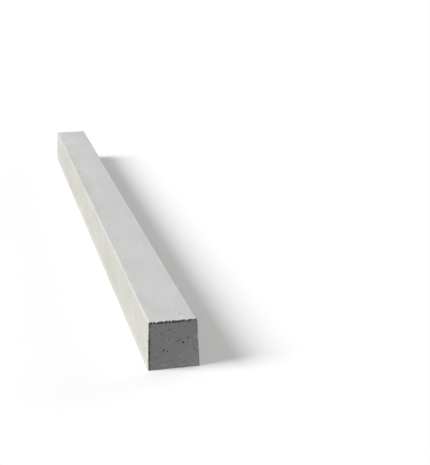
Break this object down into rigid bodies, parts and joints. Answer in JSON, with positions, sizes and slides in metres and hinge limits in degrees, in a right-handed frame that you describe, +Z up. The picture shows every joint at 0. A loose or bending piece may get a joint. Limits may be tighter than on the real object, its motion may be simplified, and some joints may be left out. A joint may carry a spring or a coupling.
{
  "type": "concrete fence post",
  "caption": "Plain precast concrete fence post of drafted square section with rounded long arrises and square ends, set upright in the ground to carry fence rails, panels or wire.",
  "frame": {"origin": "centre of the wide face, on the surface that the post lies on", "axes": "+Y along the post, away from the weathered end that the picture shows; +Z up from the wide face to the narrow face; +X across the post"},
  "size_m": [0.0998, 1.8, 0.095],
  "materials": {
    "concrete": "pale grey fair-faced concrete, matt, with a darker rough end"
  },
  "bodies": {
    "root": {"concrete_post": "concrete"}
  },
  "joints": []
}
